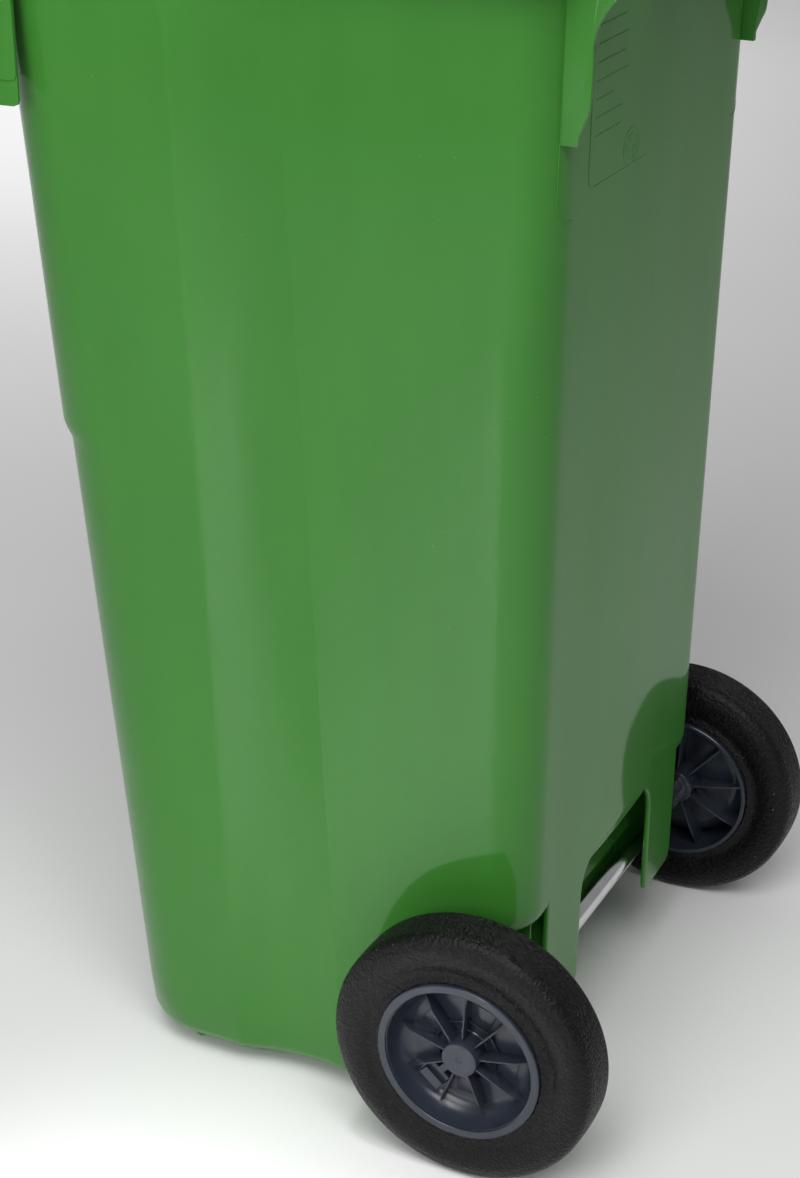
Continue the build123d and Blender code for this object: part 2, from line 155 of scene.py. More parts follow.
def rounded(points, radii, runs, turns):
    """An open line with rounded corners: runs[i] steps on each straight, turns[i] steps on each corner."""
    points = [np.array(p, float) for p in points]
    path, last = [points[0]], points[0]
    for i, (radius, steps) in enumerate(zip(radii, turns), start=1):
        before = points[i] - points[i - 1]
        after = points[i + 1] - points[i]
        before, after = before / np.linalg.norm(before), after / np.linalg.norm(after)
        turn = np.arccos(np.clip(before @ after, -1, 1))
        reach = radius * tan(turn / 2)
        start = points[i] - before * reach
        path += [last + (start - last) * k / runs[i - 1] for k in range(1, runs[i - 1] + 1)]
        if steps:
            inward = (after - before) / np.linalg.norm(after - before)
            centre = points[i] + inward * radius / cos(turn / 2)
            for k in range(1, steps + 1):
                angle = turn * k / steps
                path.append(centre + (start - centre) * cos(angle) + before * radius * sin(angle))
        last = path[-1]
    path += [last + (points[-1] - last) * k / runs[-1] for k in range(1, runs[-1] + 1)]
    return np.array(path)


def closed_round(points, radii, steps=6):
    """A closed outline with rounded corners; a radius of 0 leaves a corner sharp."""
    points = [np.array(p, float) for p in points]
    path = []
    for i, (point, radius) in enumerate(zip(points, radii)):
        before = point - points[i - 1]
        after = points[(i + 1) % len(points)] - point
        before, after = before / np.linalg.norm(before), after / np.linalg.norm(after)
        if not radius:
            path.append(tuple(point))
            continue
        turn = np.arccos(np.clip(before @ after, -1, 1))
        inward = (after - before) / np.linalg.norm(after - before)
        centre = point + inward * radius / cos(turn / 2)
        start = point - before * radius * tan(turn / 2)
        for k in range(steps + 1):
            angle = turn * k / steps
            path.append(tuple(centre + (start - centre) * cos(angle) + before * radius * sin(angle)))
    return path


def arc(centre, radius, first, last, steps):
    """Points on a circle between two angles in degrees."""
    angles = np.radians(np.linspace(first, last, steps))
    return [(centre[0] + radius * cos(a), centre[1] + radius * sin(a)) for a in angles]


def lathe(name, profile, side, steps=144, sharp=32):
    """A closed profile of (along the axle, radius) turned round a wheel's axis."""
    count = len(profile)
    vertices, faces = [], []
    for k in range(steps):
        angle = 2 * pi * k / steps
        for along, radius in profile:
            y, z = AXLE_Y + radius * cos(angle), AXLE_Z + radius * sin(angle)
            vertices.append((side * (WHEEL_X + along), y, z))
        following = (k + 1) % steps
        for i in range(count):
            j = (i + 1) % count
            faces.append((k * count + i, k * count + j, following * count + j, following * count + i))
    return new_object(name, vertices, faces, sharp)


def smooth_line(points, steps=5):
    """A Catmull-Rom curve through points."""
    points = [np.array(p, float) for p in points]
    ends = [2 * points[0] - points[1], *points, 2 * points[-1] - points[-2]]
    path = []
    for a, b, c, d in zip(ends, ends[1:], ends[2:], ends[3:]):
        for k in range(steps):
            t = k / steps
            path.append(0.5 * (2 * b + (c - a) * t + (2 * a - 5 * b + 4 * c - d) * t * t
                               + (3 * b - a - 3 * c + d) * t ** 3))
    return [tuple(p) for p in path] + [tuple(points[-1])]


def with_mirror(vertices, faces):
    """Half of a mesh together with its mirror image across the bin's middle."""
    twins = [tuple(i + len(vertices) for i in face) for face in faces]
    return vertices + [(-x, y, z) for x, y, z in vertices], faces + twins


def upright(name, outline, x, edge):
    """A thin plate across the bin's width at x, from an outline of (y, z)."""
    return bevel(prism(name, outline, x - PLATE_HALF, x + PLATE_HALF, "X"), edge)


def blend_value(low, high, value):
    """0 below low, 1 above high, and smooth in between."""
    t = min(max((value - low) / (high - low), 0.0), 1.0)
    return t * t * (3 - 2 * t)


# ======================================== body: the tub
def apron_edge(inset):
    """The edge of the arch and of one leg as (x, z), from the arch's middle to the leg's outer side."""
    inner, outer = LEG_X
    arch_x, arch_z = inner - ARCH_RADIUS, ARCH_TOP_Z - ARCH_RADIUS
    turned = ARCH_RADIUS + inset
    edge = [(arch_x * k / 3, ARCH_TOP_Z + inset) for k in range(3)]
    angles = np.linspace(0, pi / 2, ARCH_STEPS + 1)
    edge += [(arch_x + turned * sin(a), arch_z + turned * cos(a)) for a in angles]
    edge += [(inner + inset, z) for z in LEG_ROWS]
    low_z, radius = LEG_BOTTOM_Z + LEG_ROUNDING, LEG_ROUNDING - inset
    corner = [(radius * cos(a), radius * sin(a)) for a in (0, pi / 4, pi / 2)]
    edge += [(inner + LEG_ROUNDING - across, low_z - down) for across, down in corner]
    edge += [(x, LEG_BOTTOM_Z + inset) for x in LEG_COLUMNS]
    edge += [(outer - LEG_ROUNDING + across, low_z - down) for across, down in reversed(corner)]
    return edge + [(outer - inset, z) for z in (*reversed(LEG_ROWS), *reversed(ARCH_ROWS[4:]))]


ARCH_STEPS = 9
ARCH_ROWS = (0.200, 0.1945, 0.189, 0.1835, 0.178, 0.170, 0.163, 0.156, 0.148)
LEG_ROWS = (0.128, 0.106, 0.084)
LEG_COLUMNS = (0.088, 0.102, 0.1155, 0.1185)
APRON_FOOT = apron_edge(EDGE)
ARCH_COUNT = 3 + ARCH_STEPS + 1
FOOT_START = ARCH_COUNT + len(LEG_ROWS)
FOOT_COUNT = 6 + len(LEG_COLUMNS)
# columns of the rear wall, from the leg's outer side to the middle: the leg's, then the arch's
REAR_COLUMNS = [x for x, z in reversed(APRON_FOOT[FOOT_START:FOOT_START + FOOT_COUNT])]
REAR_COLUMNS += [x for x, z in reversed(APRON_FOOT[:ARCH_COUNT - 1])]
FRONT_RUN, REAR_RUN = 12, len(REAR_COLUMNS)
RUNS = (FRONT_RUN, 7, 4, 4, 7, 6, 1)
TURNS = (14, 5, 12, 4, 0, 14)
COLUMNS = 1 + sum(RUNS[:-1]) + sum(TURNS) + REAR_RUN
SPLIT = sum(RUNS[:5]) + sum(TURNS[:5])  # the column where the recess begins
REAR_START = COLUMNS - 1 - REAR_RUN  # the column where the rear corner ends


def at_height(corner, height):
    (x_low, y_low), (x_high, y_high) = corner
    part_way = height / RIM_Z
    return x_low + (x_high - x_low) * part_way, y_low + (y_high - y_low) * part_way


def crown(x, height):
    """How far the rear wall stands out at a place between the legs."""
    across = min(x / REAR_COLUMNS[0], 1.0)
    return CROWN * (1 - across ** 2) ** 2 * (1 - 0.7 * blend_value(0.24, 0.60, height))


def rear_point(x, height, depth=0.0):
    return (x, at_height(REAR_CORNER, height)[1] + crown(x, height) - depth, height)


def half_outline(height, inset, recess_y):
    """Half a level slice of the body, from the middle of its front to the middle of its rear."""
    plain, stepped = at_height(FRONT_CORNER, height), at_height(STEPPED_FRONT_CORNER, height)
    share = blend_value(*STEP_Z, height)
    front = (plain[0] - inset, plain[1] + (stepped[1] - plain[1]) * share + inset)
    rear = at_height(REAR_CORNER, height)
    rear = (rear[0] - inset, rear[1] - inset)
    crease, channel, rear_crease = ((x - inset, y) for x, y in
                                    (at_height(c, height) for c in (FRONT_CREASE, CHANNEL, REAR_CREASE)))
    share = (recess_y - rear_crease[1]) / (rear[1] - rear_crease[1])
    split = (rear_crease[0] + (rear[0] - rear_crease[0]) * share, recess_y)
    points = [(0, front[1]), front, crease, channel, rear_crease, split, rear, (0, rear[1])]
    radii = (CORNER_RADII[0] - inset, *CORNER_RADII[1:4], 0, CORNER_RADII[4] - inset)
    sides = rounded(points, radii, RUNS, TURNS)[:-1]
    return [*sides, *[(x, rear[1] + crown(x, height)) for x in REAR_COLUMNS]]


def ripple(x, y, z):
    """How far the tub's wall is pushed out at a place by its unevenness."""
    waves = ((9.0, 3.1, 2.0, 0.3), (17.0, 5.3, 7.1, 1.9), (5.2, 11.7, 4.3, 4.0), (31.0, 23.0, 1.7, 2.2))
    return sum(sin(a * x + b * z + c * y * 3 + d) for a, b, c, d in waves) * UNEVENNESS


class Grid:
    """Vertices and quads that are gathered row by row."""

    def __init__(self):
        self.vertices, self.faces = [], []

    def row(self, points):
        self.vertices += [tuple(p) for p in points]
        return list(range(len(self.vertices) - len(points), len(self.vertices)))

    def strip(self, first, second):
        for i in range(len(first) - 1):
            self.faces.append((first[i], first[i + 1], second[i + 1], second[i]))

    def sheet(self, rows):
        for first, second in zip(rows, rows[1:]):
            self.strip(first, second)


def tub_half(inset, base_z, base_round, recess_y, recess_z, recess_radius, edge_round, with_legs):
    """Half of one skin of the tub, as quads: the wall, its base and the recess over the axle."""
    high_rows = [0.206, *np.linspace(0.218, 0.486, 24), 0.492, 0.495, 0.498, 0.501, 0.504, 0.507, 0.510, 0.516,
                 0.526, *np.linspace(0.540, RIM_Z, 28)]
    shared = [APRON_Z, 0.189, 0.178, 0.168, recess_z - recess_radius]
    low_rows = [0.128, 0.105, 0.080, 0.060, 0.044]
    grid = Grid()

    def slice_row(height, first=0, last=COLUMNS, tuck=inset):
        return grid.row([(x, y, height) for x, y in half_outline(height, tuck, recess_y)[first:last]])

    rows = [slice_row(z) for z in (*reversed(high_rows), APRON_Z)]
    grid.sheet(rows)

    # ahead of the recess the wall goes down to the rounded base
    front_rows = [rows[-1][:SPLIT + 1]] + [slice_row(z, 0, SPLIT + 1) for z in (*shared[1:], *low_rows)]
    for k in range(1, 8):
        angle = pi / 2 * k / 7
        height = base_z + base_round * (1 - sin(angle))
        front_rows.append(slice_row(height, 0, SPLIT + 1, inset + base_round * (1 - cos(angle))))
    grid.sheet(front_rows)

    # over the recess it ends on the recess's curve, with a rounded edge
    def ceiling(y):
        past = recess_radius - (y - recess_y)
        return recess_z - recess_radius + sqrt(max(recess_radius ** 2 - max(past, 0) ** 2, 0))

    last = REAR_START + 2 if with_legs else COLUMNS
    foot_y = [y for x, y in half_outline(shared[-1], inset, recess_y)]
    rear_rows = [rows[-1][SPLIT:last]]
    for k in range(1, 10):
        line = []
        for column in range(SPLIT, last):
            foot = ceiling(foot_y[column])
            edge = edge_round * min((column - SPLIT) / 6, 1)
            angle = pi / 2 * max(k - 4, 0) / 5
            height = foot + edge * (1 - sin(angle)) if k > 4 else APRON_Z + (foot + edge - APRON_Z) * k / 4
            x, y = half_outline(height, inset + edge * (1 - cos(angle)), recess_y)[column]
            line.append((x, y, height))
        rear_rows.append(grid.row(line))
    grid.sheet(rear_rows)

    # the recess and the base run across, from the middle to these edges
    def across(index, lift):
        x, y, z = grid.vertices[index]
        line = [(x, y, z)]
        for column in REAR_COLUMNS:
            raised = lift * (column < LEG_COLUMNS[-1] - 0.001)
            line.append((column, y, z + raised))
        return grid.row(line)

    order = [rear_rows[-1][column - SPLIT] for column in range(REAR_START, SPLIT - 1, -1)]
    crossing = [across(index, TUNNEL_LIFT) for index in order]
    order = [row[-1] for row in front_rows[len(shared) - 1:]]
    order += [front_rows[-1][column] for column in range(SPLIT - 1, FRONT_RUN - 1, -1)]
    crossing += [across(index, 0) for index in order]
    grid.sheet(crossing)
    if with_legs:
        # the ceiling goes on to the back of the legs' plate, and is closed beside it
        ledge = [grid.vertices[index] for index in crossing[0][1:]]
        behind = grid.row([(x, rear_point(x, z)[1] - WALL / 2, z) for x, y, z in ledge])
        grid.strip(behind, crossing[0][1:])
        grid.faces.append((behind[0], *[row[-1] for row in rear_rows[4:]]))
    return grid, rows[0]


def apron_half():
    """Half of the rear wall below APRON_Z: a plate with an arch, going down into a leg."""
    grid = Grid()

    def skin(inset, depth):
        edge = apron_edge(inset)
        arch, leg = edge[:ARCH_COUNT], edge[FOOT_START:FOOT_START + FOOT_COUNT]
        fall = APRON_Z - ARCH_ROWS[-1]
        rows = []
        for z in ARCH_ROWS:
            share = (APRON_Z - z) / fall
            line = [rear_point(x, APRON_Z - share * (APRON_Z - low), depth) for x, low in arch]
            line += [rear_point(x, z, depth) for x, low in leg[1:]]
            rows.append(grid.row(line))
        grid.sheet(rows)
        leg_rows = [rows[-1][ARCH_COUNT - 1:]]
        leg_rows += [grid.row([rear_point(x, z, depth) for x, low in leg]) for z in LEG_ROWS]
        leg_rows.append(grid.row([rear_point(x, low, depth) for x, low in leg]))
        grid.sheet(leg_rows)
        rim = rows[-1][:ARCH_COUNT] + [row[0] for row in leg_rows[1:-1]] + leg_rows[-1]
        rim += [row[-1] for row in reversed(leg_rows[:-1])] + [row[-1] for row in rows[-2:3:-1]]
        return rim

    rims = [skin(EDGE, 0.0)]
    turns = [(EDGE * (1 - sin(a)), EDGE * (1 - cos(a))) for a in (pi / 6, pi / 3, pi / 2)]
    for inset, depth in (*turns, (0.0, 0.0033)):
        rims.append(grid.row([rear_point(x, z, depth) for x, z in apron_edge(inset)]))
    rims.append(skin(0.0006, 0.0039))
    grid.sheet(rims)
    return grid


def build_tub():
    outer, outer_top = tub_half(0.0, BASE_Z, BASE_ROUND, RECESS_FRONT_Y, RECESS_TOP_Z, RECESS_RADIUS,
                                CEILING_ROUND, True)
    inner, inner_top = tub_half(WALL, FLOOR_Z, FLOOR_ROUND, RECESS_FRONT_Y - WALL, RECESS_TOP_Z + WALL,
                                RECESS_RADIUS + WALL, INNER_CEILING_ROUND, False)
    whole = Grid()
    shifts = []
    for grid in (outer, inner, apron_half()):
        shifts.append(len(whole.vertices))
        whole.vertices += grid.vertices
        whole.faces += [tuple(i + shifts[-1] for i in face) for face in grid.faces]
    whole.strip(outer_top, [i + shifts[1] for i in inner_top])
    vertices, faces = with_mirror(whole.vertices, whole.faces)
    moved = []
    for x, y, z in vertices:
        push = ripple(x, y, z)
        away = Vector((x, y * 0.9, 0)).normalized() if z > 0.03 else Vector()
        moved.append((x + away.x * push, y + away.y * push, z))
    return new_object("tub", moved, faces, sharp=50)


# ======================================== body: axle plates, collar, handles, marks
def build_holders():
    """The plates in the recess that hold the axle."""
    pieces = []
    for x, rear_y in HOLDERS:
        front_y, top_z = RECESS_FRONT_Y - SUNK, RECESS_TOP_Z + SUNK
        outline = closed_round([(front_y, HOLDER_Z), (rear_y, HOLDER_Z), (rear_y, top_z), (front_y, top_z)],
                               [0, 0.006, 0, 0])
        for side in (1, -1):
            pieces.append(upright("holder", outline, side * x, 0.0006))
    return pieces


COLLAR_FRONT, COLLAR_REAR = (0.235, -0.260), (0.203, 0.182)
COLLAR_RADII = (0.052, 0.038)
SKIRT_Z, COMB_Z, COMB_END_Z = 0.845, 0.800, 0.738
COMB_END_Y, COMB_END_X = -0.186, 0.196
COMB_RIB_X, COMB_RIB_Y, COMB_RIB_LIFT = (0.036, 0.104, 0.172), (-0.2585, -0.2300, -0.2270), 0.004
FLANGE_EDGE = 0.0035


def collar_half(inset, jumps):
    """Half the collar's outline, with columns at the two places where its skirt changes depth."""
    (front_x, front_y), (rear_x, rear_y) = COLLAR_FRONT, COLLAR_REAR
    front_x, front_y, rear_x, rear_y = front_x - inset, front_y + inset, rear_x - inset, rear_y - inset
    slope = (rear_x - front_x) / (rear_y - front_y)
    points = [(0, front_y), (front_x, front_y)]
    points += [(front_x + slope * (y - front_y), y) for y in jumps]
    points += [(rear_x, rear_y), (0, rear_y)]
    radii = (COLLAR_RADII[0] - inset, *[0] * len(jumps), COLLAR_RADII[1] - inset)
    return rounded(points, radii, (16, 3, *[1] * (len(jumps) - 1), 16, 14), (14, *[0] * len(jumps), 10))


def build_collar():
    """The rim's flange and skirt, swept round half the bin and mirrored."""
    jumps = [COMB_END_Y - 0.004, COMB_END_Y - 0.0012, COMB_END_Y - 0.0001, COMB_END_Y]
    outline = collar_half(0, jumps)

    def depth(x, y):
        if y >= COMB_END_Y:
            return SKIRT_Z
        if y > COMB_END_Y - 0.0011:
            return COMB_END_Z + 0.004
        if y > COMB_END_Y - 0.0039:
            return COMB_END_Z + 0.0012
        return COMB_END_Z if x > COMB_END_X else COMB_Z

    # each section is (inset, height rule); a share counts down from the flange to the skirt's ledge
    sections = [(0.030, "top"), (0.012, "top"), (FLANGE_EDGE, "top")]
    sections += [(FLANGE_EDGE * (1 - sin(a)), -FLANGE_EDGE * (1 - cos(a))) for a in np.linspace(0.3, pi / 2, 4)]
    sections += [(0.0, 0.30), (0.0, 0.62), (0.0, "ledge"), (0.0011, "under ledge"), (0.0011, "foot"),
                 (0.0030, "foot"), (0.0030, 0.5), (0.0030, "inside"), (0.030, "inside")]
    grid, rings = Grid(), []
    for inset, rule in sections:
        ring = []
        for (x, y), (outer_x, outer_y) in zip(collar_half(inset, jumps), outline):
            foot = depth(outer_x, outer_y)
            end_plate = foot < COMB_Z - 0.02
            ledge = foot + (0.017 if end_plate else 0.004)
            heights = {"top": RIM_Z, "ledge": ledge, "under ledge": ledge - 0.0008, "foot": foot,
                       "inside": RIM_Z - WALL}
            if rule in heights:
                z = heights[rule]
            elif rule <= 0:
                z = RIM_Z + rule
            else:
                z = RIM_Z - FLANGE_EDGE - (RIM_Z - FLANGE_EDGE - ledge) * rule
            ring.append((x, y, z))
        rings.append(grid.row(ring))
    grid.sheet(rings + rings[:1])
    pieces = [new_object("collar", *with_mirror(grid.vertices, grid.faces), sharp=38)]
    outer_y, top_y, foot_y = COMB_RIB_Y
    top_z, foot_z = RIM_Z - 0.003, COMB_Z + COMB_RIB_LIFT
    for x in COMB_RIB_X:
        for side in (1, -1):
            rib = [(outer_y, top_z), (outer_y, foot_z), (foot_y, foot_z), (top_y, top_z)]
            pieces.append(upright("comb_rib", rib, side * x, 0.0005))
    return pieces


GRIP_RADIUS, EYE_RADIUS = 0.014, 0.017
OUTER_PLATE_X, INNER_PLATE_X, LUG_X = 0.162, 0.062, 0.018
GRIP_STEPS, GRIP_SIDES, GRIP_RINGS, GRIP_RING, GRIP_FLARE = 60, 48, 15, 0.0006, 0.0022
PLATE_TIP = (0.246, 0.859)  # where a handle plate's lower edge meets its eye


def handle_plate(x, foot, middle):
    """A plate that stands out from the rear wall and ends in an eye round the hinge's line."""
    start, through, stop = (np.array(p) for p in (foot[-1], middle, PLATE_TIP))
    bow = [tuple((1 - t) ** 2 * start + 2 * t * (1 - t) * (2 * through - (start + stop) / 2) + t * t * stop)
           for t in np.linspace(0, 1, 12)]
    eye = arc((HINGE_Y, HINGE_Z), EYE_RADIUS, -55, 97, 14)
    outline = [*foot[:-1], *bow, *eye, (0.206, 0.871), (0.188, 0.868), (0.156, 0.868)]
    return upright("plate", outline, x, 0.0007)


def build_handles():
    outer_foot = [(0.156, 0.737), *arc((0.1718, 0.7385), 0.0015, -90, 0, 4), (0.1733, 0.7425),
                  *smooth_line([(0.1737, 0.7445), (0.1772, 0.7530), (0.1798, 0.7595), (0.1808, 0.7700),
                                (0.1814, 0.7907)], 4)]
    inner_foot = [(0.156, 0.850), (0.184, 0.850)]
    pieces = []
    for side in (1, -1):
        pieces.append(handle_plate(side * OUTER_PLATE_X, outer_foot, (0.1953, 0.8270)))
        pieces.append(handle_plate(side * INNER_PLATE_X, inner_foot, (0.216, 0.851)))
        pieces.append(handle_plate(side * LUG_X, inner_foot, (0.216, 0.851)))
        grip = []
        for t in np.linspace(0, 1, GRIP_STEPS + 1):
            along = INNER_PLATE_X + (OUTER_PLATE_X - INNER_PLATE_X) * t
            flare = GRIP_FLARE * (1 - blend_value(0, 0.05, t) + blend_value(0.95, 1, t))
            ring = GRIP_RING * max(cos(t * 2 * pi * GRIP_RINGS), 0) ** 3 * (0.06 < t < 0.94)
            grip.append((along, GRIP_RADIUS - GRIP_RING + flare + ring))
        vertices, faces, steps = [], [], GRIP_SIDES
        for along, radius in grip:
            for k in range(steps):
                angle = 2 * pi * k / steps
                vertices.append((side * along, HINGE_Y + radius * cos(angle), HINGE_Z + radius * sin(angle)))
        for i in range(len(grip) - 1):
            for k in range(steps):
                j = (k + 1) % steps
                faces.append((i * steps + k, i * steps + j, (i + 1) * steps + j, (i + 1) * steps + k))
        faces += [tuple(range(steps)), tuple(range(len(vertices) - steps, len(vertices)))]
        pieces.append(new_object("grip", vertices, faces))
    return pieces


def rear_y(x, z):
    """The rear face of the body at one place, round its corner as well."""
    outline = half_outline(z, 0.0, RECESS_FRONT_Y)[REAR_START - TURNS[-1]:]
    return float(np.interp(abs(x), [p[0] for p in reversed(outline)], [p[1] for p in reversed(outline)]))


def bead(points, radius, closed=True, sides=8):
    """A thin raised line along points on the rear face."""
    count, vertices, faces = len(points), [], []
    for i, point in enumerate(points):
        before = np.array(points[i - 1] if closed or i else point)
        after = np.array(points[(i + 1) % count] if closed or i < count - 1 else point)
        ahead = (after - before) / np.linalg.norm(after - before)
        across = np.array((ahead[1], -ahead[0]))
        x, z = point
        for k in range(sides):
            angle = 2 * pi * k / sides
            sideways = across * radius * cos(angle)
            vertices.append((x + sideways[0], rear_y(x, z) + radius * 0.8 * sin(angle), z + sideways[1]))
    for i in range(count if closed else count - 1):
        j = (i + 1) % count
        for k in range(sides):
            m = (k + 1) % sides
            faces.append((i * sides + k, i * sides + m, j * sides + m, j * sides + k))
    if not closed:
        faces += [tuple(range(sides)), tuple(range(len(vertices) - sides, len(vertices)))]
    return new_object("bead", vertices, faces)


PANEL_X, PANEL_Z, PANEL_RADIUS = (0.026, 0.122), (0.699, 0.842), 0.009
MARK, MARK_RADII, MARK_CORE = (0.053, 0.711), (0.0125, 0.0085), 0.0045
BAR_ROWS, BAR_TOP_Z, BAR_PITCH, BAR_X, BAR_END_X, BAR_SPARE = 8, 0.812, 0.0115, 0.114, 0.062, 0.030
THIN, OUTLINE, RIDGE = 0.0004, 0.00045, 0.0007  # radii of the raised lines


def build_rear_details():
    """A data panel with blank bars and a round mark, and a low ridge below each handle plate."""
    pieces = []
    (near_x, far_x), (low_z, high_z) = PANEL_X, PANEL_Z
    panel = rounded([(far_x, high_z), (far_x, low_z), (near_x, low_z)], (PANEL_RADIUS,), (16, 14), (7,))
    pieces.append(bead(panel, OUTLINE, closed=False))
    for radius in MARK_RADII:
        pieces.append(bead(arc(MARK, radius, 0, 350, 40), THIN))
    for turn in (90, 210, 330):
        pieces.append(bead(arc(MARK, MARK_CORE, turn - 40, turn + 40, 8), THIN, closed=False))
    chance = random.Random(5)
    for row in range(BAR_ROWS):
        z, x, stop = BAR_TOP_Z - row * BAR_PITCH, BAR_X, BAR_END_X + BAR_SPARE * chance.random()
        while x > stop:
            length = chance.uniform(0.0015, 0.0045)
            line = [(x, z), (x - length / 2, z), (x - length, z)]
            pieces.append(bead(line, THIN, closed=False, sides=6))
            x -= length + chance.uniform(0.0014, 0.0030)
    for side in (1, -1):
        corners = [(side * 0.1635, 0.738), (side * 0.1635, 0.688), (side * 0.146, 0.686)]
        ridge = rounded(corners, (0.013,), (10, 5), (8,))
        pieces.append(bead(ridge, RIDGE, closed=False))
    return pieces


FEET, FOOT_RADIUS, FOOT_TOP_Z, FOOT_EDGE = ((0.162, -0.123), (0.150, 0.030)), 0.007, 0.010, 0.0015


def build_feet():
    pieces = []
    for x, y in FEET:
        for side in (1, -1):
            ring = arc((side * x, y), FOOT_RADIUS, 0, 345, 24)
            pieces.append(bevel(prism("foot", ring, 0.0, FOOT_TOP_Z, "Z"), FOOT_EDGE, 3))
    return pieces


# ======================================== lid
LID_FRONT, LID_REAR = (0.2443, -0.265), (0.207, 0.188)
LID_RADII = (0.056, 0.042)
LID_WALL, LID_RISE = 0.0032, 0.0015
LID_FRONT_RUN, LID_SIDE_RUN = 14, 26
LIP_X, LIP_Y, LIP_Z, LIP_RADIUS = (0.062, 0.168), (-0.262, -0.2745), (0.8835, 0.8880), 0.009
KNUCKLE_RADIUS, ARM_X, ARM_RIDGES = 0.0145, (0.0215, 0.0585), (0.0300, 0.0400, 0.0500)
CROWN_RIB_X, CROWN_RIB_Y, CROWN_RIB_Z = (0.056, 0.062), (-0.130, 0.060), (0.9280, 0.9347)
CROWN_RIB_RADIUS = 0.0029


def lid_half(inset):
    (front_x, front_y), (rear_x, rear_y) = LID_FRONT, LID_REAR
    points = [(0, front_y + inset), (front_x - inset, front_y + inset), (rear_x - inset, rear_y - inset),
              (0, rear_y - inset)]
    radii = [max(radius - inset / 2, 0.012) for radius in LID_RADII]
    return rounded(points, radii, (LID_FRONT_RUN, LID_SIDE_RUN, LID_FRONT_RUN), (14, 12))


def build_lid():
    """The lid's skin, from the inside of its skirt over the crown, and back underneath."""
    crown = smooth_line([(0.0225, 0.8885), (0.0245, 0.8915), (0.0268, 0.8990), (0.0300, 0.9085),
                         (0.0385, 0.9165), (0.0530, 0.9222), (0.0800, 0.9275), (0.1150, 0.9315),
                         (0.1450, 0.9335)], 4)
    skirt = [(LID_WALL, 0.8842), (LID_WALL, 0.8752), (0.0026, 0.8742), (0.0012, 0.8740),
             (0.0004, 0.8744), (0.0, 0.8752), (0.0, 0.8850), (0.0004, 0.8866), (0.0014, 0.8877),
             (0.0028, 0.8880), (0.0205, 0.8880)]
    under = [(inset + LID_WALL * 0.9, z - LID_WALL) for inset, z in reversed(crown)]
    sections = [*skirt, *crown, *under, (LID_WALL + 0.018, 0.8842)]
    grid, summit = Grid(), len(skirt) + len(crown) - 1
    rings = [grid.row([(x, y, z) for x, y in lid_half(inset)]) for inset, z in sections]
    for first, second in zip(rings, rings[1:] + rings[:1]):
        if first is not rings[summit]:
            grid.strip(first, second)
    # the middle of the crown is closed by rows across, as is its underside
    for ring in rings[summit:summit + 2]:
        rows = []
        for i, index in list(enumerate(ring))[LID_FRONT_RUN:-LID_FRONT_RUN]:
            x, y, z = grid.vertices[index]
            near = min(i - LID_FRONT_RUN, len(ring) - 1 - LID_FRONT_RUN - i) / LID_SIDE_RUN
            rise = LID_RISE * blend_value(0, 1, min(near, 1))
            left = [1 - k / LID_FRONT_RUN for k in range(LID_FRONT_RUN + 1)]
            rows.append(grid.row([(x * share, y, z + rise * (1 - share ** 2)) for share in left]))
        grid.sheet(rows)
    pieces = [new_object("lid_skin", *with_mirror(grid.vertices, grid.faces), sharp=45)]
    for side in (1, -1):
        (near_x, far_x), (root_y, tip_y) = LIP_X, LIP_Y
        lip = closed_round([(side * near_x, root_y), (side * near_x, tip_y), (side * far_x, tip_y),
                            (side * far_x, root_y)], [0, LIP_RADIUS, LIP_RADIUS, 0], 6)
        pieces.append(bevel(prism("lip", lip, *LIP_Z, "Z"), 0.0014, 3))
        knuckle = arc((HINGE_Y, HINGE_Z), KNUCKLE_RADIUS, -178, 62, 26)
        arm = [(0.168, 0.8845), (0.206, 0.8845), (0.2330, 0.8800), *knuckle, (0.2380, 0.8935), (0.2200, 0.8945),
               (0.168, 0.8945)]
        low, high = sorted(side * x for x in ARM_X)
        pieces.append(bevel(prism("arm", arm, low, high, "X"), 0.0012, 3))
        for x in ARM_RIDGES:
            ridge = [(0.166, 0.8940), (0.2200, 0.8940), (0.2360, 0.8930), (0.2360, 0.8942), (0.2180, 0.8962),
                     (0.166, 0.8962)]
            pieces.append(bevel(prism("ridge", ridge, side * x - 0.001, side * x + 0.001, "X"), 0.0004))
        # two low ribs stiffen the crown
        (near_x, far_x), (front_y, back_y) = CROWN_RIB_X, CROWN_RIB_Y
        rib = closed_round([(side * near_x, front_y), (side * near_x, back_y), (side * far_x, back_y),
                            (side * far_x, front_y)], [CROWN_RIB_RADIUS] * 4, 4)
        pieces.append(bevel(prism("crown_rib", rib, *CROWN_RIB_Z, "Z"), 0.0012, 3))
    return join("lid_moulding", pieces)


# ======================================== wheels
RIM_OUTER, RIM_INNER, RIM_RADIUS, RIM_EDGE = 0.0224, -0.0236, 0.0623, 0.0007
LATCH_ANGLE, SPOKES = 228.0, 9
OUTER_SPOKE_THICK, INNER_SPOKE_THICK = 0.0014, 0.0017
HUB_WALL_R, HUB_WALL_X, HUB_WALL_MIDDLE = (0.0222, 0.0232), (0.0010, 0.0046), 0.0230
WEB_X, STEP_X, STEP_R, STEP_WIDTH = 0.0005, 0.0027, (0.0250, 0.0385), 0.0150
CHEEK_OFFSET, CHEEK_THICK = 0.0098, 0.0016
TYRE_RADIUS, TREAD_HALF, TREAD_DROP = 0.1000, 0.0148, 0.0005
GROOVES, GROOVE_PITCH, GROOVE_TOP, GROOVE_FOOT, GROOVE_DEPTH = 7, 0.0019, 0.00055, 0.0002, 0.0005


